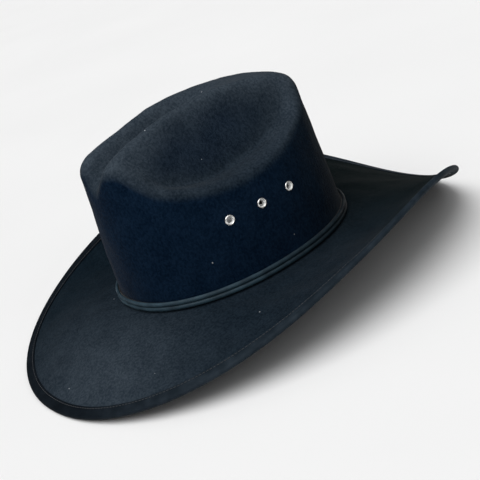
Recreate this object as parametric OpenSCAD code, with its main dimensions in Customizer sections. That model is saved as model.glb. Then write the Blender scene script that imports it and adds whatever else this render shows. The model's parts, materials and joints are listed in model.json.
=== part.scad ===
// Western felt hat with a cattleman crown and a wired, bound brim.
// Millimetres. +Z up, -Y the front of the hat, +X the wearer's left.
// The hat stands on the front and back dips of its brim, at z = 0.

/* [Crown] */
// Half width of the crown where it meets the brim
base_w = 79.5; // [76:0.5:84]
// Half length of the crown where it meets the brim
base_l = 103; // [100:0.5:110]
// How much the crown is tucked in at its front, at the base
front_tuck = 2.9; // [0:0.1:3]
// Half width of the crown at its upper rim
rim_w = 65.5; // [63:0.5:72]
// Half length of the crown at its upper rim
rim_l = 96.5; // [93:0.5:100]
// Squareness of the crown's oval, 2 is an ellipse
crown_square = 2.15; // [2:0.05:2.4]
// Height of the ridges at the front, above the base
ridge_front = 117.5; // [105:0.5:125]
// Height of the ridges at the back, above the base
ridge_back = 118.5; // [105:0.5:125]
// How far the ridges bow up between front and back
ridge_bow = 17.5; // [8:0.5:20]
// Half distance between the two ridges
ridge_x = 18; // [14:0.5:21]
// Depth of the crease between the ridges
crease_depth = 14; // [8:1:16]
// Where the crease ends, from 0 at the front to 1 at the back
crease_end = 0.75; // [0.6:0.05:0.9]
// Depth of the dent in each side of the top
dent_depth = 55; // [40:1:58]
// Distance of the dents' floor from the middle
dent_x = 45.5; // [42:0.5:50]
// How far forward the dents' deepest place lies, 1 is central
dent_forward = 0.91; // [0.8:0.01:1]
// How suddenly the dents end, lower is more sudden
dent_ease = 0.4; // [0.36:0.02:0.8]
// Size of the rounding round the crown's upper rim
rim_round = 10; // [8:0.5:18]

/* [Brim] */
// Half width of the brim, to the wire
brim_w = 162.5; // [145:0.5:170]
// Reach of the brim in front of the crown's middle
brim_front = 195.5; // [185:0.5:205]
// Reach of the brim behind the crown's middle
brim_back = 209.5; // [195:0.5:215]
// Squareness of the brim's outline, 2 is an ellipse
brim_square = 2.13; // [2:0.01:2.3]
// How far the front and back dip below the crown's base
brim_dip = 33; // [25:1:40]
// How far the sides lift above the crown's base
side_lift = 18.5; // [10:0.5:25]
// How far the lifted sides sweep towards the back
rear_sweep = 10.5; // [6:0.5:12]
// How much the lifted sides are flattened along their length
side_flat = 2.4; // [0:0.1:4]
// How late the brim curls, 1 is a straight slope
brim_curl = 1.8; // [1.5:0.1:2.2]
// How much later it curls at the sides than at front and back
side_curl = 0.2; // [0:0.1:0.4]
// How much later still it curls at its rear corners
rear_curl = 1.1; // [0:0.1:2]
// Extra height of the rear corners
rear_raise = 2.7; // [0:0.1:6]
// Where the rear corners are, in degrees behind the sides
rear_at = 28; // [20:1:40]
// How far round the rear corners reach, in degrees
rear_span = 22.5; // [18:0.5:30]

/* [Felt and edge] */
// Thickness of the felt
felt_t = 2.2; // [1.8:0.1:2.4]
// Radius of the bend between crown and brim
base_bend = 4; // [3.5:0.5:5]
// Diameter of the wire in the brim's edge
wire_d = 1.5; // [1.2:0.1:1.6]
// Diameter of the rolled edge of the binding
roll_d = 4.4; // [4.2:0.1:5]
// How far the binding laps over the felt, from the wire
bind_lap = 7.5; // [6:0.5:8]
// Thickness of the binding ribbon
bind_t = 0.5; // [0.4:0.1:0.7]

/* [Eyelets] */
// Height of the eyelets above the base
eyelet_h = 55; // [45:1:60]
// Distance from one eyelet to the next
eyelet_pitch = 29; // [25:1:32]
// Place of the middle eyelet, behind the crown's middle
eyelet_y = -5.5; // [-15:0.5:5]
// Diameter of the eyelets' flange
flange_d = 8; // [7:0.5:9]
// Diameter of the eyelets' hole
eyelet_bore = 4.6; // [4:0.1:5]

/* [Hatband] */
// Height of each of the two rolls
band_roll_h = 3.6; // [3.2:0.1:4.2]
// How far each roll stands out
band_roll_t = 2.8; // [2.4:0.1:3.6]
// Width of the join cover at the back
keeper_w = 14; // [10:1:18]

/* [Sweatband] */
// Height of the sweatband
sweat_h = 32; // [25:1:40]
// Thickness of the sweatband
sweat_t = 1.2; // [0.8:0.1:1.5]
// Diameter of the reed along its lower edge
reed_d = 2; // [1.5:0.1:2.4]

/* [Hidden] */
columns = 72;            // columns of points round the hat
turn = 360 / columns;
angles = [for (j = [0:columns - 1]) j * turn];
half_t = felt_t / 2;
wall_h = 119;            // height at which the wall has the rim's size
tuck_h = 64;             // height at which the front's tuck ends
rim_inset = 0.9 * rim_round / rim_w;
crease_fade = 0.4;       // part of the length over which the crease fades out
spine = 0.75;            // length of the crown's middle line, of the rim's length
bow_top = [0.15, 0.3, 0.44, 0.6, 0.76, 0.9, 1];
rim_steps = [0.25, 0.5, 0.75, 1];
wall_steps = [0.7, 0.45, 0.2];
bend_steps = [0, 0.33, 0.67, 1];
brim_steps = [0.2, 0.4, 0.6, 0.8, 1];
gap = 0.4;               // air between the hatband and the felt
lap_air = 0.35;          // air between the binding and the felt
wire_air = 0.65;         // from the wire to the felt's cut edge
edge_in = 8;             // width of the brim's flat outermost strip

// ---- numbers ----
function power(v, e) = sign(v) * pow(abs(v), e);
function clamp(v, low = 0, high = 1) = min(max(v, low), high);
function ease(v) = v * v * (3 - 2 * v);
function mix(p, q, k) = p + (q - p) * k;
function unit(v) = v / norm(v);
function bend(p, q, r, k) = p * (1 - k) * (1 - k) + q * 2 * k * (1 - k) + r * k * k;
function oval(w, l, n, a) = [w * power(cos(a), 2 / n), l * power(sin(a), 2 / n)];
function lift(xy, z) = [xy[0], xy[1], z];

// ---- crown, middle of the felt, heights above the base ----
function half_w(h) = mix(base_w, rim_w, h / wall_h);
function half_l(h) = mix(base_l, rim_l, h / wall_h);
function tuck(v) = 1.25 * v * v / (v + 0.25);
function half_front(h) = half_l(h) - front_tuck * tuck(clamp(1 - h / tuck_h));
function reach(a, h) = sin(a) < 0 ? half_front(h) : half_l(h);
function wall(a, h) = lift(oval(half_w(h), reach(a, h), crown_square, a), h);
function crease(x, t) =
    abs(x) < ridge_x
    ? crease_depth * ease(clamp((crease_end - t) / crease_fade)) * (1 + cos(180 * x / ridge_x)) / 2
    : 0;
function dent(x, t) =
    dent_depth * (1 - cos(180 * clamp((abs(x) - ridge_x) / (dent_x - ridge_x)))) / 2
    * pow((1 - cos(360 * pow(t, dent_forward))) / 2, dent_ease);
function top_h(x, t) =
    mix(ridge_front, ridge_back, t) + ridge_bow * 4 * t * (1 - t) - crease(x, t) - dent(x, t);
function top_point(xy) = lift(xy, top_h(xy[0], clamp((xy[1] + rim_l) / (2 * rim_l))));
function rim(a) = top_point(oval(rim_w, rim_l, crown_square, a));
function spine_point(a) = top_point([0, spine * (1 - rim_inset) * rim_l * power(sin(a), 2 / crown_square)]);
function top_column(a) =
    let (outer = wall(a, rim(a)[2]) * (1 - rim_inset), inner = spine_point(a))
    [for (k = bow_top) top_point([outer[0] * k, mix(inner[1], outer[1], k)])];
function rim_column(a) =
    let (corner = wall(a, rim(a)[2]))
    let (in = top_point(corner * (1 - rim_inset)), low = wall(a, corner[2] - rim_round))
    [for (k = rim_steps) bend(in, corner, low, k)];
function wall_column(a) =
    let (high = rim(a)[2] - rim_round)
    [for (k = wall_steps) wall(a, mix(base_bend, high, k))];

// ---- brim, middle of the felt ----
edge_swing = (side_lift + brim_dip) / 2;
edge_mean = (side_lift - brim_dip) / 2;
function rear(a) = exp(-pow((atan2(sin(a), abs(cos(a))) - rear_at) / rear_span, 2));
function edge_h(a) =
    edge_mean + side_flat * (1 - cos(4 * a)) + edge_swing * cos(2 * a)
    + rear_sweep * (sin(a) + sin(3 * a)) + rear_raise * rear(a);
function edge(a) = lift(
    oval(brim_w, sin(a) > 0 ? brim_back : brim_front, brim_square, a),
    edge_h(a));
function brim(a, k) =
    let (in = wall(a, 0), out = edge(a), curl = brim_curl + side_curl * cos(2 * a) + rear_curl * rear(a))
    [mix(in[0], out[0], k), mix(in[1], out[1], k), out[2] * pow(k, curl)];
function brim_len(a) = norm(edge(a) - wall(a, 0));
function strip(a) = brim(a, 1 - edge_in / brim_len(a));
function inward(a) = unit(strip(a) - edge(a));
function edge_up(a) = unit(cross(-inward(a), edge(a + turn) - edge(a - turn)));
function bend_column(a) =
    let (high = wall(a, base_bend), corner = wall(a, 0), out = brim(a, base_bend / brim_len(a)))
    [for (k = bend_steps) bend(high, corner, out, k)];
function brim_column(a) =
    let (in = base_bend / brim_len(a), out = 1 - edge_in / brim_len(a))
    [for (k = brim_steps) brim(a, mix(in, out, k))];
felt_edge_in = wire_d / 2 + wire_air;
function column(a) = concat(
    top_column(a), rim_column(a), wall_column(a), bend_column(a), brim_column(a),
    [edge(a) + felt_edge_in * inward(a)]);

// ---- closed rings swept round the hat: rings[column][point] ----
function ring_faces(rings, points) = [
    for (j = [0:rings - 1]) for (k = [0:points - 1])
        let (a = j * points, b = (j + 1) % rings * points, n = (k + 1) % points)
        for (f = [[a + k, b + k, a + n], [b + k, b + n, a + n]]) f];
module ring(rings) {
    polyhedron([for (r = rings) for (p = r) p], ring_faces(len(rings), len(rings[0])), convexity = 8);
}

// A loop that follows the crown's wall: outline points are [out from the wall, up].
function oval_out(a, h) =
    let (p = wall(a, h))
    unit([power(p[0] / half_w(h), crown_square - 1) / half_w(h),
          power(p[1] / reach(a, h), crown_square - 1) / reach(a, h), 0]);
module crown_loop(outline) {
    ring([for (a = angles) [for (q = outline) wall(a, q[1]) + q[0] * oval_out(a, q[1])]]);
}
function round_outline(out, up, t, h, sides) =
    [for (k = [0:sides - 1]) [out + t / 2 * cos(-360 * k / sides), up + h / 2 * sin(-360 * k / sides)]];
function strip_outline(in, out, low, high, steps) = concat(
    [for (k = [0:steps]) [in, mix(low, high, k / steps)]],
    [for (k = [0:steps]) [out, mix(high, low, k / steps)]]);

// ---- felt ----
grid = [for (a = angles) column(a)];
rows = len(grid[0]);
function at(j, i) = grid[(j + columns) % columns][clamp(i, 0, rows - 1)];
function before(j, i) = i == 0 ? spine_point(angles[j]) : at(j, i - 1);
function felt_up(j, i) = unit(cross(at(j, i + 1) - before(j, i), at(j + 1, i) - at(j - 1, i)));
quarter = columns / 4;
function spine_id(j) = j <= quarter ? j + quarter : j < 3 * quarter ? 3 * quarter - j : j - 3 * quarter;
spine_count = 2 * quarter + 1;
function spine_up(a) =
    let (p = spine_point(a), ahead = top_point([0, p[1] + 1]), back = top_point([0, p[1] - 1]))
    unit([0, back[2] - ahead[2], 2]);
function spine_row(side) =
    [for (k = [0:spine_count - 1]) let (a = k * turn - 90) spine_point(a) + side * half_t * spine_up(a)];
function felt_row(i, side) = [for (j = [0:columns - 1]) at(j, i) + side * half_t * felt_up(j, i)];
felt_points = concat(
    spine_row(1),
    [for (i = [0:rows - 1]) for (p = felt_row(i, 1)) p],
    [for (i = [rows - 1:-1:0]) for (p = felt_row(i, -1)) p],
    spine_row(-1));
function felt_id(r, j) =
    r == 0 ? spine_id(j % columns)
    : r == 2 * rows + 1 ? spine_count + 2 * rows * columns + spine_id(j % columns)
    : spine_count + (r - 1) * columns + j % columns;
felt_faces = [
    for (r = [0:2 * rows]) for (j = [0:columns - 1])
        let (a = felt_id(r, j), b = felt_id(r, j + 1), c = felt_id(r + 1, j + 1), d = felt_id(r + 1, j))
        for (f = [[a, b, c], [a, c, d]]) f];

module felt_body() {
    color([0.09, 0.10, 0.13]) placed() difference() {
        polyhedron(felt_points, felt_faces, convexity = 10);
        for (side = [-1, 1]) for (k = [-1:1])
            at_eyelet(side, k)
                cylinder(d = flange_d - 2 * rivet_lip, h = 4 * felt_t, center = true, $fn = 32);
    }
}

// ---- binding, wire and splice ----
channel = half_t + lap_air;
binding_outline = concat(
    [[bind_lap, channel + bind_t], [roll_d / 2 + 0.6, channel + bind_t + 0.1]],
    [for (b = [90:30:270]) roll_d / 2 * [cos(b), sin(b)]],
    [[roll_d / 2 + 0.6, -channel - bind_t - 0.1], [bind_lap, -channel - bind_t], [bind_lap, -channel],
     [-wire_d / 2 - 0.4, -channel + 0.15], [-wire_d / 2 - 0.4, channel - 0.15], [bind_lap, channel]]);
function on_edge(a, q) = edge(a) + q[0] * inward(a) + q[1] * edge_up(a);
function binding_ring(a) = [for (q = binding_outline) on_edge(a, q)];
function wire_ring(a) = [for (k = [0:7]) on_edge(a, wire_d / 2 * [cos(45 * k), sin(45 * k)])];

// ---- place of the whole hat ----
binding_rings = [for (a = angles) binding_ring(a)];
low_z = min([for (ring = binding_rings) for (p = ring) p[2]]);
low_y = min([for (ring = binding_rings) for (p = ring) p[1]]);
high_y = max([for (ring = binding_rings) for (p = ring) p[1]]);
base_z = -low_z;
shift_y = -(low_y + high_y) / 2;
module placed() {
    translate([0, shift_y, base_z]) children();
}

module brim_binding() {
    color([0.07, 0.08, 0.10]) placed() ring(binding_rings);
}
module brim_wire() {
    color("silver") placed() ring([for (a = angles) wire_ring(a)]);
}
splice_wall = 0.2;
splice_len = 8;
module wire_splice_sleeve() {
    from = edge(90);
    to = edge(90 + turn);
    way = to - from;
    color("goldenrod") placed()
        translate((from + to) / 2)
            rotate([0, acos(way[2] / norm(way)), atan2(way[1], way[0])])
                difference() {
                    cylinder(d = wire_d + 2 * splice_wall + 0.1, h = splice_len, center = true, $fn = 32);
                    cylinder(d = wire_d + 0.1, h = splice_len + 1, center = true, $fn = 32);
                }
}

// ---- eyelets: side 1 is the wearer's left, k runs from -1 in front to 1 behind ----
rivet_lip = 1.3;
rivet_wall = 0.35;
rivet_air = 0.15;
washer_t = 0.5;
function eyelet_place(side, k) =
    let (y = eyelet_y + k * eyelet_pitch, n = crown_square, l = reach(90 * sign(y), eyelet_h))
    [side * half_w(eyelet_h) * pow(1 - pow(abs(y) / l, n), 1 / n), y, eyelet_h];
function eyelet_out(p) =
    let (w = half_w(p[2]), l = reach(90 * sign(p[1]), p[2]), n = crown_square)
    let (fx = abs(p[0]) / w, fy = abs(p[1]) / l)
    unit([sign(p[0]) * pow(fx, n - 1) / w, sign(p[1]) * pow(fy, n - 1) / l,
          pow(fx, n) * (base_w - rim_w) / wall_h / w + pow(fy, n) * (base_l - rim_l) / wall_h / l]);
module at_eyelet(side, k) {
    p = eyelet_place(side, k);
    out = eyelet_out(p);
    translate(p) rotate([0, acos(out[2]), atan2(out[1], out[0])]) children();
}
module eyelet(side, k) {
    bore = eyelet_bore / 2;
    face = half_t + rivet_air;
    back = -half_t - 2 * rivet_air - washer_t;
    color([0.8, 0.8, 0.8]) placed() at_eyelet(side, k) rotate_extrude($fn = 48) polygon([
        [bore, back - 0.7], [bore + 0.75, back - 0.5], [bore + 0.75, back - 0.1],
        [bore + rivet_wall, back], [bore + rivet_wall, face],
        [flange_d / 2, face], [flange_d / 2, face + 0.25], [flange_d / 2 - 0.5, face + 0.65],
        [bore + 0.6, face + 0.85], [bore + 0.1, face + 0.6], [bore, face]]);
}
module eyelet_washer(side, k) {
    high = -half_t - rivet_air;
    color([0.6, 0.6, 0.6]) placed() at_eyelet(side, k) rotate_extrude($fn = 48) polygon([
        [eyelet_bore / 2 + rivet_wall + 0.1, high], [flange_d / 2, high],
        [flange_d / 2, high - washer_t], [eyelet_bore / 2 + rivet_wall + 0.1, high - washer_t]]);
}

// ---- hatband ----
keeper_t = 0.5;
tape_t = 0.5;
band_low = half_t + gap + keeper_t + 0.6;
roll_out = half_t + gap + tape_t + 0.1 + band_roll_t / 2;
lower_up = band_low + band_roll_h / 2;
upper_up = lower_up + band_roll_h + 0.1;
module hatband_lower_roll() {
    color([0.13, 0.13, 0.13]) placed()
        crown_loop(round_outline(roll_out, lower_up, band_roll_t, band_roll_h, 10));
}
module hatband_upper_roll() {
    color([0.13, 0.13, 0.13]) placed()
        crown_loop(round_outline(roll_out, upper_up, band_roll_t, band_roll_h, 10));
}
module hatband_backing() {
    color([0.05, 0.05, 0.05]) placed()
        crown_loop(strip_outline(half_t + gap, half_t + gap + tape_t, lower_up - 0.2, upper_up + 1, 1));
}
module hatband_keeper() {
    low = band_low - keeper_t - 0.1;
    high = upper_up + band_roll_h / 2 + 0.3 + keeper_t;
    near = half_t + gap + tape_t + 0.8;
    far = roll_out + band_roll_t / 2 + 0.3 + keeper_t;
    color([0.10, 0.10, 0.10]) placed() translate([-keeper_w / 2, half_l(lower_up), 0])
        rotate([90, 0, 90]) linear_extrude(keeper_w) difference() {
            translate([near, low]) square([far - near, high - low]);
            translate([near - 1, low + keeper_t])
                square([far - keeper_t - near + 1, high - low - 2 * keeper_t]);
        }
}

// ---- inside ----
sweat_out = -half_t - gap;
sweat_low = 1;
module sweatband() {
    color([0.16, 0.15, 0.15]) placed()
        crown_loop(strip_outline(sweat_out - sweat_t, sweat_out, sweat_low, sweat_low + sweat_h, 3));
}
module sweatband_reed() {
    color([0.05, 0.05, 0.05]) placed()
        crown_loop(round_outline(sweat_out - sweat_t / 2, sweat_low - 0.3 - reed_d / 2, reed_d, reed_d, 8));
}
bow_w = 16;
bow_h = 7;
bow_t = 2;
bow_outline = [[-1, -1], [-0.25, -0.4], [0.25, -0.4], [1, -1], [1, 1], [0.25, 0.4], [-0.25, 0.4], [-1, 1]];
module sweatband_bow() {
    color([0.03, 0.03, 0.03]) placed()
        translate([0, half_l(sweat_low + sweat_h) + sweat_out - sweat_t - 0.6, sweat_low + sweat_h * 0.6])
            rotate([90, 0, 0]) linear_extrude(bow_t)
                polygon([for (q = bow_outline) [q[0] * bow_w / 2, q[1] * bow_h / 2]]);
}
tab_w = 20;
tab_h = 12;
tab_t = 0.4;
module size_tab() {
    color([0.85, 0.85, 0.82]) placed()
        translate([-tab_w / 2, half_l(tab_h) + sweat_out - sweat_t - 1, sweat_low + 2])
            rotate([90, 0, 0]) linear_extrude(tab_t) square([tab_w, tab_h]);
}

felt_body();
brim_binding();
brim_wire();
wire_splice_sleeve();
eyelet(1, -1);  // eyelet_left_front
eyelet(1, 0);  // eyelet_left_middle
eyelet(1, 1);  // eyelet_left_rear
eyelet(-1, -1);  // eyelet_right_front
eyelet(-1, 0);  // eyelet_right_middle
eyelet(-1, 1);  // eyelet_right_rear
eyelet_washer(1, -1);  // washer_left_front
eyelet_washer(1, 0);  // washer_left_middle
eyelet_washer(1, 1);  // washer_left_rear
eyelet_washer(-1, -1);  // washer_right_front
eyelet_washer(-1, 0);  // washer_right_middle
eyelet_washer(-1, 1);  // washer_right_rear
sweatband();
sweatband_reed();
sweatband_bow();
size_tab();
hatband_upper_roll();
hatband_lower_roll();
hatband_backing();
hatband_keeper();
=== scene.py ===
# Western felt hat: the visible pieces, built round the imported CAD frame.
# Lengths in the shape rules are millimetres about the middle of the crown's base, with x towards the
# wearer's left and y towards the back. world() turns them into metres in the CAD's own frame.
import math
import bpy
import numpy as np
from mathutils import Matrix
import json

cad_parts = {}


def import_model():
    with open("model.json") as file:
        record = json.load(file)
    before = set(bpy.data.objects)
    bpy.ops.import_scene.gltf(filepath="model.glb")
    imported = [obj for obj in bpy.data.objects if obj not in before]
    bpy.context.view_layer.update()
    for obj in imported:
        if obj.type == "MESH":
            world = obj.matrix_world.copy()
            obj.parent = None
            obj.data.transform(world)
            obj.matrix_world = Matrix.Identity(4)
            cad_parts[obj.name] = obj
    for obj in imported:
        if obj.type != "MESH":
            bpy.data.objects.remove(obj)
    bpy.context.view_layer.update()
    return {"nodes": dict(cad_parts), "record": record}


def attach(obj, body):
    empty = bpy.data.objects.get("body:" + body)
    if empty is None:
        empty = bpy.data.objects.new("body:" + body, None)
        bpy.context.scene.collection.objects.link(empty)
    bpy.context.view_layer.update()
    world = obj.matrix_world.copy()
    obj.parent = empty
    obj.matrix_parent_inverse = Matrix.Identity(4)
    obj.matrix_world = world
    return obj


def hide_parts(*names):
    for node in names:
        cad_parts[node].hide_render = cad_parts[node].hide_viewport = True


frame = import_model()
MM = 0.001
ROUND = 2 * math.pi
PLACE = np.array(frame["record"]["mounts"][0]["pos_m"])   # the head opening: middle of the crown's base

# ---- driving sizes, the same as in the CAD ----
# crown: half width and half length at its base and at its rim, the front's tuck, the ridges
BASE_W, BASE_L = 79.5, 103.0
RIM_W, RIM_L = 65.5, 96.5
WALL_H = 119.0
CROWN_SQUARE = 2.15
FRONT_TUCK, TUCK_H, TUCK_EASE = 2.9, 64.0, 0.25
RIDGE_FRONT, RIDGE_BACK, RIDGE_BOW, RIDGE_X = 117.5, 118.5, 17.5, 18.0
CREASE_DEPTH, CREASE_END, CREASE_FADE = 14.0, 0.75, 0.4
DENT_DEPTH, DENT_X, DENT_FORWARD, DENT_EASE = 55.0, 45.5, 0.91, 0.4
RIM_ROUND = 10.0
SPINE = 0.75   # share of the top's length that its middle line takes
# brim: half width, half lengths, and the dip, lift and curl of its edge
BRIM_W, BRIM_FRONT, BRIM_BACK, BRIM_SQUARE = 162.5, 195.5, 209.5, 2.13
BRIM_DIP, SIDE_LIFT, REAR_SWEEP, SIDE_FLAT = 33.0, 18.5, 10.5, 2.4
BRIM_CURL, SIDE_CURL = 1.8, 0.2
REAR_CURL, REAR_RAISE, REAR_AT, REAR_SPAN = 1.1, 2.7, 28.0, 22.5
FELT_T = 2.2
BASE_BEND = 4.0
# binding, eyelets, hatband and sweatband
WIRE_D, ROLL_D, BIND_LAP, BIND_T = 1.5, 4.4, 7.5, 0.5
LAP_AIR, WIRE_AIR, EDGE_STRIP = 0.35, 0.65, 8.0
EYELET_H, EYELET_PITCH, EYELET_Y = 55.0, 29.0, -5.5
FLANGE_D, BORE_R, HOLE_R = 8.0, 2.3, 2.7
BAND_GAP, TAPE_T, KEEPER_T, KEEPER_W = 0.4, 0.5, 0.5, 14.0
BAND_ROLL_H, BAND_ROLL_T = 3.6, 2.8
SWEAT_LOW, SWEAT_H, SWEAT_T, REED_D = 1.0, 32.0, 1.2, 2.0

HALF_T = FELT_T / 2
RIM_INSET = 0.9 * RIM_ROUND / RIM_W
FINE_ANGLES = np.linspace(0, ROUND, 4001)   # for measuring a curve's length
NUDGE = 0.002   # a small turn to either side, for the direction along a seam


# ---- small helpers ----
def power(v, e):
    return np.sign(v) * np.abs(v) ** e


def ease(v):
    v = np.clip(v, 0, 1)
    return v * v * (3 - 2 * v)


def mix(p, q, k):
    return p + (q - p) * k


def unit(v):
    return v / np.linalg.norm(v, axis=-1, keepdims=True)


def steps(count):
    return np.linspace(0, 1, count + 1)


def turns(count):
    return np.arange(count) * ROUND / count


def wobble(p, length, seed):
    """Smooth noise of about unit size with bumps `length` millimetres across."""
    rng = np.random.default_rng(seed)
    total = np.zeros(p.shape[:-1])
    for _ in range(8):
        way = unit(rng.normal(size=3))
        waves = p @ way * ROUND / length * rng.uniform(0.7, 1.4)
        total += np.sin(waves + rng.uniform(0, ROUND))
    return total / 2


# ---- the hat's form; an angle of 0 is the wearer's left and a quarter turn is the back ----
def oval(w, l, n, a):
    return np.stack([w * power(np.cos(a), 2 / n), l * power(np.sin(a), 2 / n)], -1)


def lift(xy, z):
    return np.concatenate([xy, np.broadcast_to(z, xy.shape[:-1])[..., None]], -1)


def half_w(h):
    return mix(BASE_W, RIM_W, h / WALL_H)


def half_l(h):
    return mix(BASE_L, RIM_L, h / WALL_H)


def half_front(h):
    """Half length of the crown's front half, which tucks in towards the brim."""
    v = np.clip(1 - np.asarray(h) / TUCK_H, 0, 1)
    return half_l(h) - FRONT_TUCK * (1 + TUCK_EASE) * v * v / (v + TUCK_EASE)


def reach(a, h):
    return np.where(np.sin(a) < 0, half_front(h), half_l(h))


def wall(a, h):
    return lift(oval(half_w(h), reach(a, h), CROWN_SQUARE, a), h)


def top_point(xy):
    """The crown's top: two ridges, the crease between them and a dent outside each."""
    x, t = np.abs(xy[..., 0]), np.clip((xy[..., 1] + RIM_L) / (2 * RIM_L), 0, 1)
    ridge = mix(RIDGE_FRONT, RIDGE_BACK, t) + RIDGE_BOW * 4 * t * (1 - t)
    crease = CREASE_DEPTH * ease((CREASE_END - t) / CREASE_FADE) * (1 + np.cos(math.pi * x / RIDGE_X)) / 2
    across = (1 - np.cos(math.pi * np.clip((x - RIDGE_X) / (DENT_X - RIDGE_X), 0, 1))) / 2
    along = ((1 - np.cos(ROUND * t ** DENT_FORWARD)) / 2) ** DENT_EASE
    return lift(xy, ridge - np.where(x < RIDGE_X, crease, 0) - DENT_DEPTH * across * along)


def bend(p, q, r, k):
    """A rounded corner from p to r with its peak towards q."""
    return p * (1 - k) ** 2 + q * 2 * k * (1 - k) + r * k * k


def rear(a):
    """One at the brim's two rear corners, fading to nothing away from them."""
    behind = np.degrees(np.arctan2(np.sin(a), np.abs(np.cos(a))))
    return np.exp(-((behind - REAR_AT) / REAR_SPAN) ** 2)


def edge(a):
    """The wire's path round the brim."""
    half = np.where(np.sin(a) > 0, BRIM_BACK, BRIM_FRONT)
    swing, mean = (SIDE_LIFT + BRIM_DIP) / 2, (SIDE_LIFT - BRIM_DIP) / 2
    high = (mean + SIDE_FLAT * (1 - np.cos(4 * a)) + swing * np.cos(2 * a)
            + REAR_SWEEP * (np.sin(a) + np.sin(3 * a)) + REAR_RAISE * rear(a))
    return lift(oval(BRIM_W, half, BRIM_SQUARE, a), high)


def brim(a, k):
    """The brim's middle surface, with k from 0 at the crown to 1 at the wire."""
    inner, outer = wall(a, 0.0), edge(a)
    curl = BRIM_CURL + SIDE_CURL * np.cos(2 * a) + REAR_CURL * rear(a)
    return lift(mix(inner[..., :2], outer[..., :2], np.asarray(k)[..., None]), outer[..., 2] * k ** curl)


def brim_len(a):
    return np.linalg.norm(edge(a) - wall(a, 0.0), axis=-1)


def edge_frame(a):
    """Wire point, unit vector inward along the felt, and the felt's upward normal."""
    step = math.radians(2.5)
    inward = unit(brim(a, 1 - EDGE_STRIP / brim_len(a)) - edge(a))
    up = unit(np.cross(-inward, edge(a + step) - edge(a - step)))
    return edge(a), inward, up


def on_edge(a, inward, up):
    """A point by its distances inward and up from the wire."""
    p, i, u = edge_frame(a)
    return p + inward * i + up * u


def wall_out(a, h):
    """Level unit vector out of the crown's wall."""
    w, l, e = half_w(h), reach(a, h), CROWN_SQUARE - 1
    x, y = np.moveaxis(oval(w, l, CROWN_SQUARE, a), -1, 0)
    return unit(np.stack([power(x / w, e) / w, power(y / l, e) / l, 0 * x], -1))


def on_wall(a, out, h):
    """A point by its distance out of the felt's middle and its height."""
    return wall(a, h) + out * wall_out(a, h)


def eyelet_places():
    """Name, middle and outward direction of each eyelet."""
    n, w = CROWN_SQUARE, float(half_w(EYELET_H))
    places = []
    for side, hand in ((1, "left"), (-1, "right")):
        for k, place in ((-1, "front"), (0, "middle"), (1, "rear")):
            y = EYELET_Y + k * EYELET_PITCH
            l = float(half_front(EYELET_H) if y < 0 else half_l(EYELET_H))
            fy = abs(y) / l
            fx = (1 - fy ** n) ** (1 / n)
            lean = fx ** n * (BASE_W - RIM_W) / WALL_H / w + fy ** n * (BASE_L - RIM_L) / WALL_H / l
            out = unit(np.array([side * fx ** (n - 1) / w, math.copysign(fy ** (n - 1) / l, y), lean]))
            places.append((f"{hand}_{place}", np.array([side * w * fx, y, EYELET_H]), out))
    return places


def level_axes(out):
    """Two unit vectors square to an outward direction, the first one level."""
    side = unit(np.cross(out, [0, 0, 1.0]))
    return side, np.cross(side, out)


# ---- meshes ----
def world(p):
    return np.asarray(p) * MM + PLACE


def mesh_piece(name, points, faces, material, body):
    mesh = bpy.data.meshes.new(name)
    mesh.from_pydata(world(points).reshape(-1, 3).tolist(), [], [list(f) for f in faces])
    mesh.polygons.foreach_set("use_smooth", [True] * len(mesh.polygons))
    mesh.materials.append(material)
    mesh.update()
    piece = bpy.data.objects.new(name, mesh)
    bpy.context.collection.objects.link(piece)
    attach(piece, body)
    return piece


def tube_faces(rings, sides, closed=True):
    """Quads between rings of points; an open tube gets end caps."""
    last = rings if closed else rings - 1
    j, k = np.meshgrid(np.arange(last), np.arange(sides), indexing="ij")
    n, m = (j + 1) % rings, (k + 1) % sides
    quads = np.stack([j * sides + k, j * sides + m, n * sides + m, n * sides + k], -1)
    faces = quads.reshape(-1, 4).tolist()
    if not closed:
        faces += [list(range(sides))[::-1], [(rings - 1) * sides + s for s in range(sides)]]
    return faces


def short_lengths(curve):
    """Lengths of a closed curve's short stretches, one after another."""
    return np.linalg.norm(np.diff(curve(FINE_ANGLES), axis=0), axis=1)


def even_angles(curve, count, start=0.0):
    """Angles at which a closed curve of the angle is cut into equal lengths."""
    run = np.concatenate([[0], np.cumsum(short_lengths(curve))])
    return np.interp((np.arange(count) + start) % count / count * run[-1], run, FINE_ANGLES)


def curve_length(curve):
    return short_lengths(curve).sum()


def back_angles(out, up, wide, count):
    """Angles of `count` places evenly spread over a width across the crown's back."""
    fine = math.pi / 2 + np.linspace(-0.6, 0.6, 801)
    xs = on_wall(fine, out, up)[:, 0]
    return np.interp(np.linspace(-wide / 2, wide / 2, count), xs[::-1], fine[::-1])[::-1]


def loop_piece(name, angles, outline, material, body, closed=True, shape=None):
    """A closed outline of (out, up) points swept round the crown's wall; shape may alter the rings."""
    rings = np.stack([on_wall(angles, out, up) for out, up in outline[::-1]], 1)
    if shape is not None:
        rings = shape(rings)
    return mesh_piece(name, rings, tube_faces(len(angles), len(outline), closed), material, body)


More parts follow.
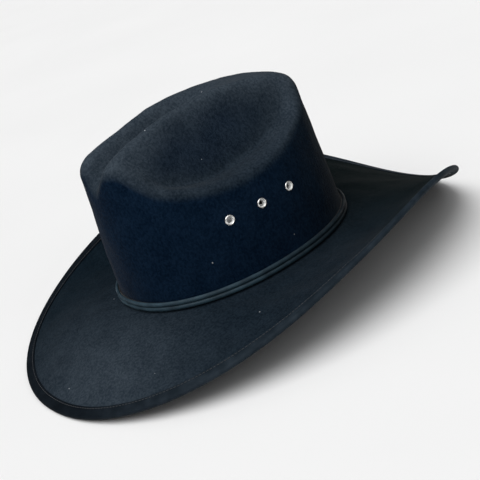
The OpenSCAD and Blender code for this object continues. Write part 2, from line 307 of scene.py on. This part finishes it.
def stitch_row(name, middles, ways, ups, length, width, height):
    """A row of short thread stitches in the hat, each a small rounded lozenge."""
    lengthwise = np.array([-0.5, -0.36, 0.0, 0.36, 0.5]) * length
    fat = np.array([0.25, 0.8, 1.0, 0.8, 0.25])[:, None]
    around = turns(6)
    across = np.cross(ups, ways)
    rings = (middles[:, None, None] + lengthwise[None, :, None, None] * ways[:, None, None]
             + (fat * np.cos(around) * width / 2)[None, ..., None] * across[:, None, None]
             + (fat * np.sin(around) * height / 2)[None, ..., None] * ups[:, None, None])
    points_each = len(fat) * len(around)
    one = tube_faces(len(fat), len(around), closed=False)
    faces = [[k * points_each + v for v in face] for k in range(len(middles)) for face in one]
    mesh_piece(name, rings.reshape(-1, 3), faces, THREAD, "hat")


# ---- materials ----
class Look:
    """A node material with its shader at hand."""

    def __init__(self, name, color, roughness, **sockets):
        self.material = bpy.data.materials.new(name)
        self.material.use_nodes = True
        self.nodes, self.links = self.material.node_tree.nodes, self.material.node_tree.links
        self.shader = self.nodes["Principled BSDF"]
        self.place = self.nodes.new("ShaderNodeTexCoord").outputs["Object"]
        self.shader.inputs["Base Color"].default_value = self.rgb(color)
        self.shader.inputs["Roughness"].default_value = roughness
        for socket, value in sockets.items():
            self.shader.inputs[socket.replace("_", " ")].default_value = value

    @staticmethod
    def rgb(color):
        return (*color, 1.0)

    def node(self, kind, values=None, **settings):
        node = self.nodes.new(kind)
        for key, value in settings.items():
            setattr(node, key, value)
        for key, value in (values or {}).items():
            if isinstance(value, bpy.types.NodeSocket):
                self.links.new(value, node.inputs[key])
            else:
                node.inputs[key].default_value = value
        return node

    def axes(self, vector):
        """The X, Y and Z of a vector, by name."""
        return self.node("ShaderNodeSeparateXYZ", {"Vector": vector}).outputs

    def stretched(self, scale):
        return self.node("ShaderNodeMapping", {"Vector": self.place, "Scale": scale}).outputs[0]

    def noise(self, scale, detail=2.0, place=None, rough=0.5):
        return self.node("ShaderNodeTexNoise", {"Vector": place or self.place, "Scale": scale,
                                                "Detail": detail, "Roughness": rough}).outputs["Fac"]

    def wave(self, scale, distortion, direction):
        values = {"Vector": self.place, "Scale": scale, "Distortion": distortion}
        return self.node("ShaderNodeTexWave", values, bands_direction=direction).outputs["Fac"]

    def cells(self, scale, feature="F1"):
        values = {"Vector": self.place, "Scale": scale}
        return self.node("ShaderNodeTexVoronoi", values, feature=feature).outputs["Distance"]

    def spread(self, value, low, high, to_low=0.0, to_high=1.0):
        """A value between low and high mapped to another range, and held at its ends."""
        return self.node("ShaderNodeMapRange", {"Value": value, "From Min": low, "From Max": high,
                                                "To Min": to_low, "To Max": to_high}).outputs[0]

    def math(self, operation, a, b):
        return self.node("ShaderNodeMath", {0: a, 1: b}, operation=operation).outputs[0]

    def mixed(self, factor, a, b):
        node = self.nodes.new("ShaderNodeMix")
        node.data_type = "RGBA"
        self.links.new(factor, node.inputs["Factor"])
        for socket, value in ((node.inputs[6], a), (node.inputs[7], b)):
            if isinstance(value, bpy.types.NodeSocket):
                self.links.new(value, socket)
            else:
                socket.default_value = self.rgb(value)
        return node.outputs[2]

    def base(self, socket):
        self.links.new(socket, self.shader.inputs["Base Color"])

    def rough(self, socket):
        self.links.new(socket, self.shader.inputs["Roughness"])

    def bump(self, height, strength, distance, under=None):
        values = {"Height": height, "Strength": strength, "Distance": distance}
        if under is not None:
            values["Normal"] = under
        normal = self.node("ShaderNodeBump", values).outputs[0]
        self.links.new(normal, self.shader.inputs["Normal"])
        return normal


def felt_look():
    """Short-napped felt with random tone; painted shade makes upright walls darker and the back duller, and
    painted light makes faces that look up lighter, most at the crown's top and the brim's front on the
    wearer's left.
    """
    look = Look("felt", (0.01, 0.017, 0.026), 1.0,
                Specular_IOR_Level=0.0, Sheen_Weight=0.05, Sheen_Roughness=0.35)
    grain = look.noise(950, 3.0, rough=0.65)
    coarse = look.noise(1.0, 3.0, look.stretched((520, 520, 380)), rough=0.65)
    mottle = look.noise(60, 3.0)
    tone = look.math("ADD", look.spread(grain, 0.4, 0.6, 0, 0.25), look.spread(mottle, 0.35, 0.65, 0, 0.25))
    tone = look.math("ADD", tone, look.spread(coarse, 0.41, 0.59, 0, 0.5))
    # Painted light and shade: copies of the felt's tone, darker for upright walls and for the back, lighter
    # for level faces, and lighter still for the painted light on faces that look up.
    deep = look.mixed(tone, (0.0012, 0.0050, 0.0128), (0.0054, 0.0143, 0.0310))
    shaded_back = look.mixed(tone, (0.0010, 0.0032, 0.0040), (0.0038, 0.0076, 0.0082))
    navy = look.mixed(tone, (0.0016, 0.0048, 0.0082), (0.0062, 0.0128, 0.0192))
    lit_felt = look.mixed(tone, (0.0038, 0.0076, 0.0130), (0.0165, 0.0260, 0.0375))
    brightest_lit_felt = look.mixed(tone, (0.0250, 0.0360, 0.0490), (0.0670, 0.0840, 0.1030))

    facing = look.axes(look.node("ShaderNodeNewGeometry").outputs["Normal"])["Z"]
    upward = look.spread(facing, 0.15, 0.75)
    level = look.spread(look.math("ABSOLUTE", facing, 0.0), 0.25, 0.7)
    place = look.axes(look.place)
    # More painted light towards the wearer's left.
    light_to_left = look.spread(place["X"], -0.11, 0.03, 0.1, 1.0)
    # Painted shade: upright walls darker than level faces, and duller towards the back.
    shaded_felt = look.mixed(look.spread(place["Y"], 0.0, 0.12), look.mixed(level, deep, navy), shaded_back)

    # Painted light on faces that look up, towards the front on the wearer's left and towards the crown's top.
    front_light = look.math("MULTIPLY", look.spread(place["Y"], 0.15, -0.06, 0.0, 0.6), light_to_left)
    top_light = look.spread(place["Z"], 0.078, 0.112)
    wear_and_painted_light = look.math("MULTIPLY", upward, look.math("MAXIMUM", front_light, top_light))

    # Stronger painted light on faces that look up, at the crown's top and on the brim's front towards the
    # wearer's left.
    front_strong_light = look.math("MULTIPLY", look.spread(place["Y"], -0.08, -0.16, 0.0, 0.5), light_to_left)
    front_strong_light = look.math("MULTIPLY", front_strong_light, look.spread(place["X"], 0.06, 0.13, 1.0, 0.35))
    top_strong_light = look.spread(place["Z"], 0.108, 0.152, 0.0, 0.62)
    strong_light = look.math("MULTIPLY", upward, look.math("MAXIMUM", top_strong_light, front_strong_light))

    # The felt's colour with its painted shade, then painted light and the stronger painted light over it.
    cloth = look.mixed(strong_light, look.mixed(wear_and_painted_light, shaded_felt, lit_felt), brightest_lit_felt)
    lint = look.spread(look.cells(44.0), 0.024, 0.017)
    look.base(look.mixed(lint, cloth, (0.45, 0.47, 0.50)))
    look.bump(coarse, 0.6, 0.0008, look.bump(grain, 0.5, 0.0005))
    return look.material


def ribbon_look():
    """Ribbed ribbon with random tone, paler at the back and on the wearer's left from painted light."""
    look = Look("ribbon", (0.005, 0.008, 0.012), 0.7, Specular_IOR_Level=0.06)
    rib = look.noise(1.0, 1.0, look.stretched((2400, 2400, 500)))
    wear_and_painted_light = look.spread(look.noise(120, 3.0), 0.35, 0.7)
    place = look.axes(look.place)
    # Painted light: the ribbon paler towards the back and the wearer's left.
    lit_back_and_left = look.math("MAXIMUM", look.spread(place["Y"], -0.03, 0.08), look.spread(place["X"], 0.04, 0.13))
    plain_ribbon = look.mixed(wear_and_painted_light, (0.0016, 0.0036, 0.0062), (0.0044, 0.0074, 0.0112))
    pale = look.mixed(wear_and_painted_light, (0.0088, 0.0144, 0.0205), (0.0180, 0.0262, 0.0352))
    look.base(look.mixed(lit_back_and_left, plain_ribbon, pale))
    look.bump(rib, 0.4, 0.0003)
    return look.material


def leather_look(name, light, dark, roughness):
    """Smooth imitation leather with a fine grain, and painted shade darkening it towards the back."""
    look = Look(name, light, roughness, Specular_IOR_Level=0.2)
    wear_and_painted_light = look.noise(90, 4.0)
    hide = look.mixed(look.spread(wear_and_painted_light, 0.35, 0.65), dark, light)
    # Painted shade: darker towards the back.
    behind = look.spread(look.axes(look.place)["Y"], -0.04, 0.07)
    look.base(look.mixed(behind, hide, tuple(0.3 * c for c in dark)))
    look.rough(look.spread(wear_and_painted_light, 0.3, 0.7, roughness + 0.1, roughness - 0.08))
    look.bump(look.spread(look.cells(1500, "DISTANCE_TO_EDGE"), 0.0, 0.12), 0.35, 0.00015)
    return look.material


def cloth_look(name, light, dark, roughness=0.9, fineness=1600):
    """A plain weave, a little patchy."""
    look = Look(name, light, roughness, Specular_IOR_Level=0.25, Sheen_Weight=0.2, Sheen_Roughness=0.4)
    scale = fineness / 6.28
    weave = look.math("MULTIPLY", look.wave(scale, 0.6, "Z"), look.wave(scale, 0.6, "X"))
    look.base(look.mixed(look.spread(look.noise(70, 3.0), 0.3, 0.7), dark, light))
    look.bump(weave, 0.4, 0.0002)
    return look.material


def metal_look(name, color, roughness, scratch=0.08, metallic=0.85):
    """Plated metal with faint smears."""
    look = Look(name, color, roughness, Metallic=metallic)
    look.rough(look.spread(look.noise(400, 3.0), 0.3, 0.7, roughness, roughness + scratch))
    look.base(look.mixed(look.spread(look.noise(220, 2.0), 0.3, 0.7), color, tuple(0.86 * c for c in color)))
    look.bump(look.noise(900, 2.0), 0.05, 0.0001)
    return look.material


def thread_look():
    """Twisted sewing thread."""
    look = Look("thread", (0.010, 0.012, 0.016), 0.55, Specular_IOR_Level=0.5, Sheen_Weight=0.2)
    twist = look.wave(700.0, 1.0, "DIAGONAL")
    look.base(look.mixed(twist, (0.008, 0.010, 0.014), (0.020, 0.023, 0.028)))
    look.bump(twist, 0.5, 0.0001)
    return look.material


FELT, RIBBON, THREAD = felt_look(), ribbon_look(), thread_look()
ROLL_LEATHER = leather_look("band_leather", (0.023, 0.048, 0.066), (0.011, 0.024, 0.035), 0.5)
KEEPER_LEATHER = leather_look("keeper_leather", (0.012, 0.025, 0.038), (0.006, 0.012, 0.020), 0.55)
BACKING = cloth_look("band_tape", (0.012, 0.012, 0.013), (0.007, 0.007, 0.008))
SWEAT = cloth_look("sweat_tape", (0.030, 0.029, 0.028), (0.018, 0.017, 0.017), 0.85, 900)
REED = cloth_look("reed_piping", (0.014, 0.014, 0.015), (0.008, 0.008, 0.009))
SATIN = cloth_look("bow_satin", (0.012, 0.012, 0.014), (0.007, 0.007, 0.009), 0.4, 2400)
TAB = cloth_look("tab_cloth", (0.76, 0.75, 0.71), (0.66, 0.65, 0.61), 0.9, 1400)
NICKEL = metal_look("nickel", (0.88, 0.87, 0.85), 0.2, 0.04)
BRIGHT = metal_look("satin_bore", (0.95, 0.95, 0.94), 0.45, 0.04, 0.25)
STEEL = metal_look("steel_wire", (0.55, 0.55, 0.56), 0.35)
BRASS = metal_look("brass", (0.72, 0.58, 0.30), 0.3)


# ---- felt ----
FELT_COLUMNS = 288
FELT_ANGLES = turns(FELT_COLUMNS)
TOP_STEPS, RIM_STEPS, WALL_STEPS, BEND_STEPS, BRIM_STEPS = 33, 12, 26, 6, 32
EDGE_STEPS = (0.35, 0.7, 1.0)


def felt_grid():
    """Middle of the felt: rows from the crown's middle line to the brim's cut edge, by columns round it."""
    a = FELT_ANGLES
    rim = top_point(oval(RIM_W, RIM_L, CROWN_SQUARE, a))
    corner = wall(a, rim[:, 2])
    inner = top_point(corner[:, :2] * (1 - RIM_INSET))
    low = wall(a, corner[:, 2] - RIM_ROUND)
    mid_y = SPINE * (1 - RIM_INSET) * RIM_L * power(np.sin(a), 2 / CROWN_SQUARE)
    rows = [top_point(np.stack([inner[:, 0] * k, mix(mid_y, inner[:, 1], k)], -1)) for k in steps(TOP_STEPS)]
    rows += [bend(inner, corner, low, k) for k in steps(RIM_STEPS)[1:]]
    rows += [wall(a, mix(low[:, 2], BASE_BEND, k)) for k in steps(WALL_STEPS)[1:-1]]
    first, last = BASE_BEND / brim_len(a), 1 - EDGE_STRIP / brim_len(a)
    rows += [bend(wall(a, BASE_BEND), wall(a, 0.0), brim(a, first), k) for k in steps(BEND_STEPS)]
    rows += [brim(a, mix(first, last, k)) for k in steps(BRIM_STEPS)[1:]]
    rows += [on_edge(a, mix(EDGE_STRIP, WIRE_D / 2 + WIRE_AIR, k), 0) for k in EDGE_STEPS]
    return np.array(rows)


def felt_normals(grid):
    """Unit normals out of the crown and up from the brim; the first row's come from the crease's slope."""
    along = np.gradient(grid, axis=0)[1:]
    around = (np.roll(grid, -1, axis=1) - np.roll(grid, 1, axis=1))[1:]
    spine = grid[0][:, :2]
    rise = top_point(spine + [0, 1])[:, 2] - top_point(spine - [0, 1])[:, 2]
    first = unit(np.stack([0 * rise, -rise, 0 * rise + 2], -1))
    return np.concatenate([first[None], unit(np.cross(along, around))])


def felt_softening(grid):
    """Small hand-made unevenness, none where the band, eyelets and binding sit."""
    on_brim = np.arange(len(grid))[:, None] >= len(grid) - BRIM_STEPS - len(EDGE_STEPS)
    from_wall = np.linalg.norm(grid - wall(FELT_ANGLES, 0.0), axis=-1)
    from_edge = np.linalg.norm(grid - grid[-1], axis=-1)
    on_crown = ease((grid[..., 2] - 14) / 12)
    calm = np.where(on_brim, ease((from_wall - 10) / 15) * ease((from_edge - 8) / 15), on_crown)
    for _, middle, _ in eyelet_places():
        calm = calm * ease((np.linalg.norm(grid - middle, axis=-1) - 6) / 10)
    return calm * (0.32 * wobble(grid, 62, 3) + 0.14 * wobble(grid, 27, 4) + 0.05 * wobble(grid, 11, 5))


def spine_numbers():
    """For each column, the number of its point on the crown's middle line; left and right share them."""
    quarter = FELT_COLUMNS // 4
    j = np.arange(FELT_COLUMNS)
    return np.where(j <= quarter, j + quarter, np.where(j < 3 * quarter, 3 * quarter - j, j - 3 * quarter))


def felt_faces(rows, spine):
    """Quads from the upper side's middle line, round the cut edge, to the lower side's middle line."""
    rings, first = 2 * (rows - 1), spine.max() + 1
    ids = [spine]
    ids += [first + r * FELT_COLUMNS + np.arange(FELT_COLUMNS) for r in range(rings)]
    ids += [first + rings * FELT_COLUMNS + spine]
    near, far = np.array(ids[:-1]), np.array(ids[1:])
    return np.stack([near, far, np.roll(far, -1, 1), np.roll(near, -1, 1)], -1).reshape(-1, 4).tolist()


def felt_piece():
    grid = felt_grid()
    normals = felt_normals(grid)
    grid = grid + felt_softening(grid)[..., None] * normals
    upper, lower = grid + HALF_T * normals, grid - HALF_T * normals
    spine = spine_numbers()
    once = np.unique(spine, return_index=True)[1]
    points = np.concatenate([upper[0][once], upper[1:].reshape(-1, 3),
                             lower[:0:-1].reshape(-1, 3), lower[0][once]])
    piece = mesh_piece("felt_crown_and_brim", points, felt_faces(len(grid), spine), FELT, "hat")
    cut_eyelet_holes(piece)
    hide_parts("felt_body")


def cut_eyelet_holes(piece):
    """Round holes through the crown, hidden under the eyelets' flanges."""
    around, past = turns(48)[:, None], 5
    cutters = []
    for place, middle, out in eyelet_places():
        side, over = level_axes(out)
        ring = HOLE_R * (np.cos(around) * side + np.sin(around) * over)
        mesh = bpy.data.meshes.new(f"hole_{place}")
        ends = np.concatenate([middle + past * out + ring, middle - past * out + ring])
        mesh.from_pydata(world(ends).tolist(), [], tube_faces(2, len(around), closed=False))
        cutter = bpy.data.objects.new(f"hole_{place}", mesh)
        bpy.context.collection.objects.link(cutter)
        hole = piece.modifiers.new(f"hole_{place}", "BOOLEAN")
        hole.operation, hole.object, hole.solver = "DIFFERENCE", cutter, "EXACT"
        cutters.append(cutter)
    cut = bpy.data.meshes.new_from_object(piece.evaluated_get(bpy.context.evaluated_depsgraph_get()))
    piece.modifiers.clear()
    piece.data = cut
    for cutter in cutters:
        bpy.data.objects.remove(cutter)


# ---- eyelets ----
def eyelet_pieces():
    """Rolled metal eyelets: a rounded flange that runs down into the bore, clenched inside the crown."""
    rim, face, back = FLANGE_D / 2, HALF_T + 0.15, -HALF_T - 0.8
    flange = [(rim, face), (rim + 0.02, face + 0.16), (rim - 0.07, face + 0.4), (rim - 0.3, face + 0.63),
              (rim - 0.6, face + 0.75), (rim - 0.88, face + 0.7)]
    throat = [(2.86, face + 0.5), (2.66, face + 0.2), (2.5, face - 0.2), (2.38, face - 0.7),
              (BORE_R, face - 1.3), (BORE_R, back - 0.4)]
    clench = [(2.4, back - 0.66), (2.65, back - 0.74), (2.95, back - 0.62), (3.05, back - 0.35),
              (2.9, back - 0.1), (2.65, back), (2.65, face)]
    profile = flange + throat + clench
    bright = range(len(flange), len(flange) + len(throat) - 1)
    around = turns(64)[:, None]
    faces = tube_faces(len(around), len(profile))
    in_throat = [int(min(k % len(profile) for k in face) in bright) for face in faces]
    for place, middle, out in eyelet_places():
        side, over = level_axes(out)
        ring = np.cos(around) * side + np.sin(around) * over
        rings = np.stack([middle + r * ring + h * out for r, h in profile], 1)
        piece = mesh_piece(f"rolled_eyelet_{place}", rings, faces, NICKEL, "hat")
        piece.data.materials.append(BRIGHT)
        piece.data.polygons.foreach_set("material_index", in_throat)
        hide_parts(f"eyelet_{place}")


# ---- binding and its seam ----
CHANNEL = HALF_T + LAP_AIR
SEAM_IN = BIND_LAP - 1.5
STITCH_PITCH = 3.0
BINDING_STITCHES = round(curve_length(edge) / STITCH_PITCH)


def binding_outline():
    """Outline of the folded ribbon, (inward, up) from the wire, with a groove for the seam."""
    face = CHANNEL + BIND_T
    top = [(BIND_LAP, CHANNEL + 0.04), (BIND_LAP + 0.12, CHANNEL + 0.2), (BIND_LAP, CHANNEL + 0.42),
           (BIND_LAP - 0.5, face), (SEAM_IN + 0.5, face + 0.03), (SEAM_IN, face - 0.16),
           (SEAM_IN - 0.5, face + 0.05), (4.4, face + 0.10), (3.2, face + 0.12), (2.1, 2.08),
           (1.0, ROLL_D / 2 - 0.03)]
    roll = [(ROLL_D / 2 * math.cos(b), ROLL_D / 2 * math.sin(b)) for b in np.radians(np.arange(90, 271, 15))]
    under = [(inward, -up) for inward, up in reversed(top)]
    inside = [(-WIRE_D / 2 - 0.4, -CHANNEL + 0.15), (-WIRE_D / 2 - 0.4, CHANNEL - 0.15)]
    return np.array(top + roll + under + inside)


def binding_piece():
    """The ribbon folded over the brim's edge, drawn in a little at each stitch."""
    columns = 4 * BINDING_STITCHES
    angles = even_angles(edge, columns)
    inward, up = binding_outline().T
    on_leg = np.clip((inward - 2.2) / 2, 0, 1) * (np.abs(up) > CHANNEL + 0.1)
    pucker = 0.05 * np.cos(np.arange(columns) * ROUND / 4)[:, None] * on_leg
    soft = 0.05 * wobble(edge(angles), 19, 11)[:, None] * on_leg
    height = up + np.sign(up) * (pucker + soft)
    wire, to_crown, normal = (v[:, None, :] for v in edge_frame(angles))
    rings = wire + inward[:, None] * to_crown + height[..., None] * normal
    piece = mesh_piece("edge_binding", rings, tube_faces(columns, len(inward)), RIBBON, "hat")
    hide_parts("brim_binding")


def binding_seams():
    """The seam through the ribbon, seen on the brim's upper side and under it."""
    angles = even_angles(edge, BINDING_STITCHES, 0.5)
    ways = unit(on_edge(angles + NUDGE, SEAM_IN, 0) - on_edge(angles - NUDGE, SEAM_IN, 0))
    up = edge_frame(angles)[2]
    for name, side in (("binding_seam_top", 1), ("binding_seam_under", -1)):
        middles = on_edge(angles, SEAM_IN, side * (CHANNEL + BIND_T + 0.02))
        stitch_row(name, middles, ways, side * up, length=2.1, width=0.5, height=0.42)


# ---- hatband ----
BAND_LOW = HALF_T + BAND_GAP + KEEPER_T + 0.6
ROLL_OUT = HALF_T + BAND_GAP + TAPE_T + 0.1 + BAND_ROLL_T / 2
LOWER_UP = BAND_LOW + BAND_ROLL_H / 2
UPPER_UP = LOWER_UP + BAND_ROLL_H + 0.1


def arc(x, z, r, degrees):
    """Points about (x, z) at the given angles."""
    return [(x + r * math.cos(a), z + r * math.sin(a)) for a in map(math.radians, degrees)]


def round_outline(out, up, thick, high, sides):
    return [(out + thick / 2 * math.cos(b), up + high / 2 * math.sin(b)) for b in turns(sides)]


def rounded_box(inner, outer, low, high, r):
    """Outline of a strip with rounded edges."""
    far, near, top, bottom = outer - r, inner + r, high - r, low + r
    return (arc(far, top, r, range(0, 91, 30)) + arc(near, top, r, range(90, 181, 30))
            + arc(near, bottom, r, range(180, 271, 30)) + arc(far, bottom, r, range(270, 361, 30)))


def hatband_pieces():
    angles = even_angles(lambda a: wall(a, 6.0), 480)
    for name, node, up, seed in (("band_roll_upper", "hatband_upper_roll", UPPER_UP, 21),
                                 ("band_roll_lower", "hatband_lower_roll", LOWER_UP, 31)):
        band_roll(name, node, angles, up, seed)
    near = HALF_T + BAND_GAP
    outline = rounded_box(near, near + TAPE_T, LOWER_UP - 0.2, UPPER_UP + 1, 0.15)
    tape = loop_piece("band_backing_tape", angles[::2], outline, BACKING, "hatband")
    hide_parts("hatband_backing")
    band_join_cover()


def band_roll(name, node, angles, up, seed):
    """One roll of the band, a little uneven along its length."""
    middle = on_wall(angles, ROLL_OUT, up)[:, None]

    def creased(rings):
        size = 1 + 0.022 * wobble(rings, 7, seed) + 0.02 * wobble(rings, 23, seed + 1)
        return middle + (rings - middle) * np.clip(size, 0.9, 1.02)[..., None]

    outline = round_outline(ROLL_OUT, up, BAND_ROLL_T, BAND_ROLL_H, 20)
    piece = loop_piece(name, angles, outline, ROLL_LEATHER, "hatband", shape=creased)
    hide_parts(node)


def band_join_cover():
    """A strip of leather wrapped over both rolls at the back, open towards the crown."""
    near, far = HALF_T + BAND_GAP + TAPE_T + 0.8, ROLL_OUT + BAND_ROLL_T / 2 + 0.3 + KEEPER_T
    low, high = BAND_LOW - KEEPER_T - 0.1, UPPER_UP + BAND_ROLL_H / 2 + 0.3 + KEEPER_T
    corner_r = 1.6

    def wrap(inset):
        z0, z1, r = low + inset, high - inset, corner_r - inset
        lower_corner = arc(far - inset - r, z0 + r, r, (270, 292, 315, 338, 360))
        upper_corner = arc(far - inset - r, z1 - r, r, (0, 22, 45, 68, 90))
        return [(near, z0)] + lower_corner + upper_corner + [(near, z1)]

    outline = wrap(0) + wrap(KEEPER_T)[::-1]
    angles = back_angles(far, LOWER_UP, KEEPER_W, 17)
    piece = loop_piece("band_join_cover", angles, outline, KEEPER_LEATHER, "hatband", closed=False)
    bevel = piece.modifiers.new("soft edges", "BEVEL")
    bevel.width, bevel.segments = 0.12 * MM, 2
    bevel.limit_method, bevel.angle_limit = "ANGLE", math.radians(50)
    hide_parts("hatband_keeper")


# ---- inside the crown ----
SWEAT_OUT = -HALF_T - BAND_GAP
SWEAT_IN = SWEAT_OUT - SWEAT_T
SWEAT_HIGH = SWEAT_LOW + SWEAT_H
LOW_SEAM, HIGH_SEAM = SWEAT_LOW + 3.4, SWEAT_HIGH - 2.6
SWEAT_STITCH_PITCH = 3.2


def sweatband_outline():
    """The tape's outline, its back against the felt and a groove in its face at each seam."""
    back = [(SWEAT_OUT - 0.1, SWEAT_LOW), (SWEAT_OUT, SWEAT_LOW + 0.5), (SWEAT_OUT, SWEAT_HIGH - 0.5),
            (SWEAT_OUT - 0.1, SWEAT_HIGH), (SWEAT_OUT - 0.4, SWEAT_HIGH + 0.05)]
    high_groove = [(0.35, SWEAT_HIGH - 0.3), (0.3, HIGH_SEAM + 0.4), (0.5, HIGH_SEAM), (0.3, HIGH_SEAM - 0.4)]
    middle = [(0.05, SWEAT_HIGH - 8), (0, SWEAT_HIGH - 14), (0.02, SWEAT_LOW + 10)]
    low_groove = [(0.2, LOW_SEAM + 0.8), (0.55, LOW_SEAM), (0.3, LOW_SEAM - 0.6), (0.3, SWEAT_LOW + 0.6)]
    face = high_groove + middle + low_groove + [(0.6, SWEAT_LOW)]
    return back + [(SWEAT_IN + inset, up) for inset, up in face]


def sweatband_pieces():
    angles = even_angles(lambda a: wall(a, 10.0), 360)
    tape = loop_piece("sweat_tape", angles, sweatband_outline(), SWEAT, "hat")
    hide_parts("sweatband")
    piping = round_outline(SWEAT_OUT - SWEAT_T / 2, SWEAT_LOW - 0.3 - REED_D / 2, REED_D, REED_D, 14)
    reed = loop_piece("sweat_reed_piping", angles, piping, REED, "hat")
    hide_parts("sweatband_reed")
    sweatband_seam("sweat_seam_low", SWEAT_IN + 0.42, LOW_SEAM)
    sweatband_seam("sweat_seam_high", SWEAT_IN + 0.38, HIGH_SEAM)


def sweatband_seam(name, out, up):
    """A row of stitches round the tape's face."""
    def line(a):
        return on_wall(a, out, up)

    at = even_angles(line, round(curve_length(line) / SWEAT_STITCH_PITCH))
    ways = unit(line(at + NUDGE) - line(at - NUDGE))
    stitch_row(name, line(at), ways, -wall_out(at, up), length=2.2, width=0.5, height=0.4)


def bow_piece():
    """A flat ribbon bow over the sweatband's seam, at the back."""
    wide, tall, deep, ribbon_t = 16.0, 7.0, 2.0, 0.28
    middle_up = SWEAT_LOW + SWEAT_H * 0.6
    middle_y = half_l(SWEAT_HIGH) + SWEAT_IN - 0.6 - deep / 2
    t = turns(64)
    x, y = wide / 2 * np.cos(t), 0.62 * np.sin(2 * t)
    high = tall / 2 * (0.42 + 0.58 * np.abs(np.cos(t)) ** 1.2)
    way = unit(np.stack([-wide / 2 * np.sin(t), 1.24 * np.cos(2 * t)], -1))
    side_x, side_y = -way[:, 1] * ribbon_t / 2, way[:, 0] * ribbon_t / 2
    section = [(1, 1), (-1, 1), (-1, 0.33), (-1, -0.33), (-1, -1), (1, -1), (1, -0.33), (1, 0.33)]
    rings = np.stack([np.stack([x + s * side_x, middle_y + y + s * side_y, middle_up + v * high], -1)
                      for s, v in section], 1)
    loops = mesh_piece("sweat_bow_loops", rings, tube_faces(len(t), len(section)), SATIN, "hat")
    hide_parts("sweatband_bow")
    u = turns(20)
    knot = []
    for v in np.linspace(-1, 1, 9):
        r = 1 + 0.12 * (1 - v * v)
        knot.append(np.stack([1.5 * power(np.cos(u), 0.7) * r, middle_y + 0.95 * power(np.sin(u), 0.7) * r,
                              0 * u + middle_up + v * 1.75], -1))
    faces = tube_faces(len(knot), len(u), closed=False)
    tie = mesh_piece("sweat_bow_tie", np.array(knot), faces, SATIN, "hat")


def tab_piece():
    """A blank cloth tab sewn in under the sweatband."""
    wide, tall, thick, low, out = 20.0, 12.0, 0.4, SWEAT_LOW + 2, SWEAT_IN - 0.55
    outline = rounded_box(out - thick, out, low, low + tall, 0.15)
    piece = loop_piece("blank_size_tab", back_angles(out, low, wide, 15), outline, TAB, "hat", closed=False)
    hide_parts("size_tab")


def dress_cad_nodes():
    """Metal pieces keep their CAD shape and get their finish."""
    finishes = {"washer": NICKEL, "brim_wire": STEEL, "wire_splice_sleeve": BRASS}
    for node, piece in frame["nodes"].items():
        for start, finish in finishes.items():
            if node.startswith(start):
                piece.data.materials.clear()
                piece.data.materials.append(finish)


# ---- stage ----
def floor():
    """A wide pale disc just under the hat."""
    radius, drop = 14, 0.0002
    look = Look("pale_floor", (0.86, 0.86, 0.86), 0.9, Specular_IOR_Level=0.1)
    look.base(look.mixed(look.spread(look.noise(3.0, 2.0), 0.2, 0.8), (0.85, 0.85, 0.85), (0.88, 0.88, 0.88)))
    around = turns(96)
    points = np.stack([radius * np.cos(around), radius * np.sin(around), 0 * around - drop], -1)
    mesh = bpy.data.meshes.new("floor")
    mesh.from_pydata(points.tolist(), [], [list(range(len(around)))])
    mesh.materials.append(look.material)
    plane = bpy.data.objects.new("floor", mesh)
    bpy.context.collection.objects.link(plane)


def direction(azimuth, elevation):
    """Unit vector from the hat at an azimuth, counted from the front towards its left, and an elevation."""
    a, e = math.radians(azimuth), math.radians(elevation)
    return np.array([math.sin(a) * math.cos(e), -math.cos(a) * math.cos(e), math.sin(e)])


def aim(thing, place, target, roll=0.0):
    """Puts a light or camera at a place, looking at a target, turned about its line of sight."""
    back = unit(place - target)
    right = unit(np.cross([0, 0, 1.0], back))
    up = np.cross(back, right)
    c, s = math.cos(roll), math.sin(roll)
    pose = np.eye(4)
    pose[:3, :3] = np.stack([right * c - up * s, right * s + up * c, back], 1)
    pose[:3, 3] = place
    thing.matrix_world = Matrix(pose.tolist())


def sun(name, azimuth, elevation, strength, breadth):
    """A broad distant light; all angles in degrees."""
    data = bpy.data.lights.new(name, "SUN")
    data.energy, data.angle = strength, math.radians(breadth)
    light = bpy.data.objects.new(name, data)
    bpy.context.collection.objects.link(light)
    aim(light, direction(azimuth, elevation), np.zeros(3))


def lights():
    sky = bpy.data.worlds.new("studio")
    sky.use_nodes = True
    sky.node_tree.nodes["Background"].inputs["Color"].default_value = (1.0, 1.0, 1.0, 1)
    sky.node_tree.nodes["Background"].inputs["Strength"].default_value = 0.12
    bpy.context.scene.world = sky
    bpy.context.scene.view_settings.view_transform = "Standard"
    sun("key", azimuth=14, elevation=63, strength=2.3, breadth=60.0)
    sun("fill", azimuth=66, elevation=45, strength=0.8, breadth=70.0)
    sun("top", azimuth=0, elevation=89.9, strength=0.3, breadth=90.0)


def camera():
    """From the hat's front left and a little above, with the camera rolled."""
    azimuth, elevation, roll = 60.2, 21.5, math.radians(19.5)
    distance, focal_widths = 0.862, 2.157
    target = PLACE + [0, 0, 0.010]
    data = bpy.data.cameras.new("camera")
    data.sensor_width, data.lens = 36.0, 36.0 * focal_widths
    data.shift_x, data.shift_y = 0.0217, -0.0022
    data.clip_end = 50
    eye = bpy.data.objects.new("camera", data)
    bpy.context.collection.objects.link(eye)
    aim(eye, target + distance * direction(azimuth, elevation), target, roll)
    bpy.context.scene.camera = eye


camera()
lights()
floor()
felt_piece()
eyelet_pieces()
binding_piece()
binding_seams()
hatband_pieces()
sweatband_pieces()
bow_piece()
tab_piece()
dress_cad_nodes()
